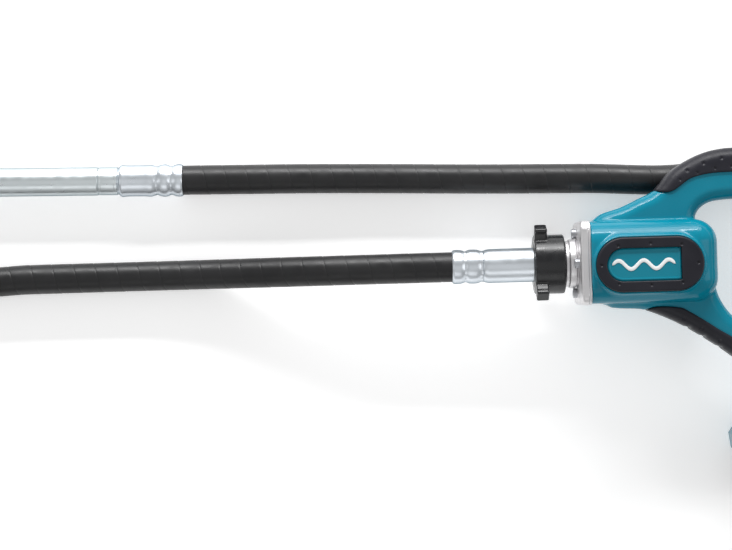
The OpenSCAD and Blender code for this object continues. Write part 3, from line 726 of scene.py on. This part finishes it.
def screw_head(cy, cz, number):
    """Hex socket cap screw, its head towards the nozzle and knurled; each is turned differently."""
    turn = number * 0.37
    sides = 48
    rings = [(0.01, -15.2), (2.1, -15.2), (2.2, -15.4), (2.3, -17.0), (2.6, -17.2), (3.8, -17.2),
             (4.1, -16.9), (4.15, -16.4), (4.15, -13.2), (2.4, -13.0), (2.4, 9), (0.01, 9)]
    ang = np.linspace(0, 2 * math.pi, sides, endpoint=False)
    verts = []
    for r, x in rings:
        rr = np.full(sides, r)
        if 2.0 < r < 2.4 and x < -15:
            k = (ang + turn) % (math.pi / 3) - math.pi / 6
            rr = r * 0.98 / np.cos(k)
        if r == 4.15:
            rr = r - 0.12 * (np.cos(ang * 24) > 0)
        verts.append(np.c_[np.full(sides, x), cy + rr * np.cos(ang), cz + rr * np.sin(ang)])
    return np.concatenate(verts), ring_faces(len(rings), sides)


def crimped(grooves, width, depth, count, low=12.6, shift=0.0):
    """Dents of a crimping tool in the grooves at these x, count of them round the ferrule."""
    def wobble(r, x, angle):
        if r < low:
            return np.full(angle.shape, r)
        near = sum(math.exp(-((x - g) / width) ** 2) for g in grooves)
        return r - depth * near * (0.5 + 0.5 * np.cos(count * angle + shift)) ** 2
    return wobble


def profile_line(points, step=0.7):
    """The line with points added at most a step apart."""
    out = []
    for a, b in zip(points, points[1:]):
        n = max(1, int(math.hypot(b[0] - a[0], b[1] - a[1]) / step))
        out += [(a[0] + (b[0] - a[0]) * k / n, a[1] + (b[1] - a[1]) * k / n) for k in range(n)]
    return out + [points[-1]]


def smooth_line(points, rounds=2):
    """The line with its corners eased."""
    p = np.asarray(points, float)
    for _ in range(rounds):
        q = p.copy()
        q[1:-1] = 0.25 * p[:-2] + 0.5 * p[1:-1] + 0.25 * p[2:]
        p = q
    return [tuple(c) for c in p]


def turned(name, outer, bore, slot, nodes, head=False, body="drive_unit", sides=128, wobble=None,
           rounding=0.35, sharp=40):
    """A turned piece: its outer line and its bore as (r, x) points."""
    profile = fillet(list(outer), rounding, 3) + fillet(list(reversed(bore)), 0.2, 1)
    v, f = lathe(profile, sides, wobble)
    if head:
        v = at_head(v)
    return make_object(name, v, f, slot, body, nodes, sharp)


def front_end():
    moulded("clamp_knob_grip", knob_field, (-51.4, -36, -36), (-24, 36, 36), 0.55, "knob",
            "knob", nodes=("clamp_knob",), sharp=55)
    moulded("front_plate", flange_field, (-14.6, -36.2, -36.2), (-3.9, 36.2, 36.2), 0.6, "cast_alu",
            nodes=("front_flange",), sharp=50)
    parts = [screw_head(25.5 * math.cos(a), 25.5 * math.sin(a), k)
             for k, a in enumerate(np.arange(4) * math.pi / 2)]
    v, f = join_parts(parts)
    make_object("plate_screws", v, f, "dark_steel", nodes=("flange_screws",), sharp=35)
    turned("neck", [(11, -25.8), (12.1, -25.8), (12.1, -42), (16, -42), (16.5, -41.5), (16.5, -24),
                    (19.1, -24), (19.8, -23.5), (19.8, -21.1), (19.2, -20.6), (20.4, -20.6),
                    (21.2, -19.9), (21.2, -15.2), (20.6, -14.5), (15, -14.5)],
           [(11, -25.8), (11, -4.2), (15, -4.2), (15, -14.5)], "cast_alu", ("output_neck",))
    turned("sleeve_tube", [(7.5, -94.3), (13.2, -94.3), (13.9, -92.6), (14.65, -89.6),
                           (14.65, -45), (16.2, -45), (16.2, -42), (12, -42), (12, -26),
                           (7.5, -26)],
           [(7.5, -94.3), (7.5, -26)], "plated", ("rigid_sleeve",), rounding=0.8)
    line = [(13.5, -120.7), (14.45, -120.1), (14.7, -118.5), (14.8, -116), (14.55, -113),
            (13.9, -110.9), (13.35, -109.6), (13.9, -108.4), (14.6, -106.3), (14.8, -103),
            (14.6, -99.6), (14.0, -97.2), (13.5, -95.6), (13.6, -94.3)]
    turned("ferrule_shell", smooth_line(profile_line(line), 2), [(8, -120.7), (8, -94.3)], "plated",
           ("hose_ferrule",), wobble=crimped((-109.6, -95.6), 1.5, 0.4, 8), rounding=0.1, sides=192)


def head():
    line = [(13.5, 0), (14.1, 0.8), (14.35, 3.2), (14.0, 6), (13.0, 8.5), (12.4, 9.8), (13.0, 11.1),
            (14.0, 13.2), (14.35, 15.5), (14.0, 18.6), (13.0, 21.3), (12.4, 22.6), (13.0, 24),
            (13.9, 26.6), (14.1, 29.3), (13.8, 31.8), (13.65, 33.5),
            (13.65, 49.5), (13.85, 50.6), (14.15, 52), (14.1, 53.6), (13.4, 54.8), (12.0, 55.6),
            (11.5, 56.2), (11.5, 57)]
    turned("head_ferrule_shell", smooth_line(profile_line(line), 2), [(8, 0), (8, 57)], "plated",
           ("head_ferrule",), head=True, sides=192, rounding=0.1,
           wobble=crimped((9.8, 22.6), 1.5, 0.28, 8, shift=0.8))
    turned("collar_ring", [(8, 57), (11.9, 57), (12.25, 57.4), (12.3, 58.2), (12.3, 59.4),
                           (12.12, 59.7), (12.3, 60), (12.3, 71.2), (12.12, 71.5), (12.3, 71.8),
                           (12.3, 73.0), (11.85, 73.5), (11.85, 74), (9.5, 74), (9.5, 82),
                           (7.5, 82)],
           [(8, 57), (8, 50), (7.3, 50), (7.3, 58), (4.6, 58), (4.6, 76), (7.5, 76), (7.5, 82)],
           "bright_steel", ("head_collar",), head=True, rounding=0.2)
    turned("head_pipe", [(9.5, 74), (12.0, 74), (12.5, 74.9), (12.5, 270), (9.5, 270)],
           [(9.5, 74), (9.5, 270)], "bright_steel", ("head_tube",), head=True, sides=128)
    dome = [(12.5 * math.cos(a), 290 + 9.8 * math.sin(a)) for a in np.linspace(0, 1.45, 12)]
    outer = [(0.02, 261), (9.45, 261), (9.45, 269.8), (12.1, 270.1), (12.5, 270.6)] + dome \
        + [(0.6, HEAD_LENGTH - 0.1), (0.02, HEAD_LENGTH)]
    v, f = lathe(outer, 128)
    make_object("nose_cap", at_head(v), f, "bright_steel", nodes=("head_nose",), sharp=40)


# ---- hose ----

ROUTE = [
    (-120.7, 0, 46), (-180, 0, 46), (-230, 0, 41.5), (-280, 0, 30), (-330, 0, 18.5),
    (-380, 0, 13.5), (-430, 0, 13), (-490, 0, 13), (-550, 0, 13), (-630, 21, 13),
    (-689, 80, 13), (-710, 160, 13), (-689, 240, 13), (-630, 299, 13), (-550, 320, 13),
    (-440, 320, 13), (-330, 320, 13), (-220, 320, 13), (-110, 320, 13), (0, 320, 13),
    (85, 320, 13), (147, 303, 13), (192, 258, 13), (209, 196, 13), (192, 134, 13),
    (147, 89, 13), (85, 72, 13), (0, 74.4, 13), (-90, 76.6, 13), (-180, 79.6, 13),
    (-250, 81.5, 14.2), (-300, 82.37, 14.2), (-353, 83.3, 14.2)]


def route_line(points, per=40):
    """Smooth curve through the route's points; they give the height over the floor."""
    p = np.asarray(points, float)
    p[:, 2] -= LIFT
    out = []
    for i in range(len(p) - 1):
        a, b, c, d = p[max(i - 1, 0)], p[i], p[i + 1], p[min(i + 2, len(p) - 1)]
        for t in np.arange(per) / per:
            out.append(0.5 * (2 * b + (c - a) * t + (2 * a - 5 * b + 4 * c - d) * t * t
                              + (3 * b - a - 3 * c + d) * t ** 3))
    return np.array(out + [p[-1]])


def hose():
    """Hose wrapped in one spiral strip: each turn starts a little proud and falls to a fine seam.
    The rings of points are slanted, so that the seam runs along an edge of the mesh."""
    line = route_line(ROUTE)
    arc = np.r_[0, np.cumsum(np.linalg.norm(np.diff(line, axis=0), axis=1))]
    total = arc[-1]

    def at(s):
        return np.stack([np.interp(s, arc, line[:, k]) for k in range(3)], -1)

    def frame_at(s):
        d = at(np.minimum(s + 1.5, total)) - at(np.maximum(s - 1.5, 0))
        d /= np.linalg.norm(d, axis=-1, keepdims=True)
        side = np.cross(d, (0, 0, 1))
        side /= np.linalg.norm(side, axis=-1, keepdims=True)
        return at(s), side, np.cross(side, d)

    pitch, sides, radius, bore_radius = 18.6, 56, 12.86, 8
    rise, seam_depth, seam_width, unevenness = 0.09, 0.24, 0.42, 0.03
    part = np.array([0, 0.012, 0.024, 0.045, 0.09, 0.2, 0.35,
                     0.5, 0.65, 0.8, 0.9, 0.955, 0.976, 0.988])
    turns = int(total / pitch) + 3
    s0 = (np.arange(turns)[:, None] + part[None]).ravel() * pitch - pitch
    f = np.tile(part, turns)
    s0 = np.append(s0, turns * pitch - pitch)
    f = np.append(f, 0)
    to_seam = np.minimum(f, 1 - f) * pitch
    lift = rise * (1 - f) - seam_depth * np.exp(-(to_seam / seam_width) ** 2)
    j = np.arange(sides)
    s = np.clip(s0[:, None] + pitch * j[None] / sides, 0, total)
    angle = -2 * math.pi * j / sides
    sag = unevenness * np.sin(s / 23.0 + 1.3 * np.sin(s / 71.0))
    r = radius + lift[:, None] + sag
    c, side, up = frame_at(s)
    v = c + r[..., None] * (np.cos(angle)[None, :, None] * side + np.sin(angle)[None, :, None] * up)
    rings = len(s0)
    per = len(part)
    verts = v.reshape(-1, 3)
    faces = []
    for i in range(rings - 1):
        a = i * sides
        for k in range(sides - 1):
            faces.append((a + k, a + k + 1, a + sides + k + 1, a + sides + k))
        m, q = min(i + per, rings - 1) * sides, min(i + 1 + per, rings - 1) * sides
        faces.append((a + sides - 1, m, q, a + 2 * sides - 1))
    bore_s = np.linspace(0, total, 300)
    c, side, up = frame_at(bore_s)
    bore = c[:, None] + bore_radius * (np.cos(angle)[None, :, None] * side[:, None]
                                       + np.sin(angle)[None, :, None] * up[:, None])
    base = len(verts)
    verts = np.concatenate([verts, bore.reshape(-1, 3)])
    n = len(bore_s)
    for i in range(n - 1):
        for k in range(sides):
            m = (k + 1) % sides
            a, b = base + i * sides, base + (i + 1) * sides
            faces.append((a + k, b + k, b + m, a + m))
    last = (rings - 1) * sides
    for k in range(sides):
        m = (k + 1) % sides
        faces.append((k, base + k, base + m, m))
        faces.append((last + k, last + m, base + (n - 1) * sides + m, base + (n - 1) * sides + k))
    o = make_object("hose_cover", verts, faces, "hose", nodes=("hose",), sharp=50)
    path = at(np.linspace(0, total, 400))
    place(line[0]).tolist()
    place(path).tolist()


# ---- battery, trigger and carried-over pieces ----

def case_field(p):
    """Battery case: hollow, with side ribs, a parting line, a sunk panel and skids underneath."""
    x, y, z = p
    f = round_box(p, (180, -190, 0), (58, 20, 37.5), 5)
    f = smax(f, y + 176, 0.5)
    in_panel = (np.abs(x - 165) < 24) * (np.abs(y + 193) < 9)
    side_rib = 0.6 * (np.abs((x - 150 + 3) % 6 - 3) < 1.2) * in_panel
    f = np.where(np.abs(z) > 36, f + side_rib, f)
    f = smax(f, -np.maximum(np.abs(y + 180.5) - 0.5, -(f + 0.7)), 0.3)
    f = np.maximum(f, -round_box(p, (180, -185, 0), (55, 22, 34.5), 3))
    f = smax(f, -round_box(p, (180, -211, 0), (48, 1.9, 28), 0.8), 0.5)
    skid = np.hypot(np.abs(x - 180) - 40, np.abs(z) - 20) - 4.5
    f = smin(f, slab(skid, y + 208.2, 1.6, 0.5), 0.6)
    keel_area = np.maximum(np.abs(x - 180) - 25, np.abs(z) - 22)
    keel = np.maximum(np.abs((x - 180 + 4) % 8 - 4) - 0.6, keel_area)
    f = smin(f, np.maximum(keel, np.abs(y + 208.7) - 0.9), 0.4)
    return smax(f, -round_box(p, (240, -176, 0), (13.6, 9, 12.4), 1.0), 0.5)


def trigger_field(p):
    """Trigger with a hollow for the finger, fine ridges and its stem into the switch."""
    x, y, z = p
    f = round_box(p, (147, 50, 0), (20, 8, 8.5), 3.6)
    f = smax(f, -(np.hypot(x - 150, y - 14) - 30.5), 2.4)
    stem = slab(np.hypot(x - 147, z) - 2.5, y - 62, 6, 0.3)
    ridge = 0.35 * (np.cos(x * 1.6) > 0.4) * (y < 48)
    return np.minimum(f + ridge * 0.6, stem)


def lock_coil():
    """Spring under the lock button: a coil of round wire."""
    wire, coil, turns, foot, top, travel = 0.4, 3.2, 6, -12.5, 7.5, 2.6
    sides, rings = 10, 217
    angle = np.linspace(0, 2 * math.pi * turns, rings)
    centre = np.c_[BUTTON_X + coil * np.cos(angle), BUTTON_Y + coil * np.sin(angle),
                   np.linspace(foot, top, rings)]
    out = np.c_[np.cos(angle), np.sin(angle), np.zeros(rings)]
    a = np.linspace(0, 2 * math.pi, sides, endpoint=False)
    verts = (centre[:, None] + wire * (np.cos(a)[None, :, None] * out[:, None]
                                       + np.sin(a)[None, :, None] * np.array([0, 0, 1])))
    o = make_object("lock_coil", verts.reshape(-1, 3), ring_faces(rings, sides), "bright_steel",
                    nodes=("lock_spring",), sharp=60)
    place((BUTTON_X, BUTTON_Y, foot)).tolist()
    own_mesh(o)


def controls():
    lock_coil()
    moulded("pack_case", case_field, (121.8, -210.2, -37.7), (238.2, -175.8, 37.7), 1.0,
            "black_plastic", "battery", nodes=("battery_case",), sharp=45)
    moulded("trigger_lever", trigger_field, (126.8, 41.5, -8.7), (167.2, 68.2, 8.7), 0.6,
            "black_plastic", "trigger", nodes=("trigger",), sharp=50)


def carried_over():
    """Every CAD node that stays gets its finish, and small outside pieces get rounded edges."""
    slots = {s["node"]: s["material_slot"] for s in frame["record"]["subparts"]}
    rounded = {"battery_lid": 0.8, "battery_latch": 0.7, "lock_button": 0.4, "housing_screws": 0.2,
               "terminal_block": 0.4, "switch_body": 0.5, "motor_can": 0.5}
    for name in slots:
        o = bpy.data.objects[name]
        if o.hide_render:
            continue
        mesh = o.data
        if not mesh.materials:
            mesh.materials.append(None)
        for k in range(len(mesh.materials)):
            mesh.materials[k] = MAT[slots[name]]
        if name in rounded:
            b = o.modifiers.new("edge", "BEVEL")
            b.width, b.segments, b.limit_method = rounded[name] * 0.001, 2, "ANGLE"
            b.angle_limit = math.radians(40)


make_camera()
hose()
make_stage()
drive_unit()
front_end()
head()
controls()
carried_over()
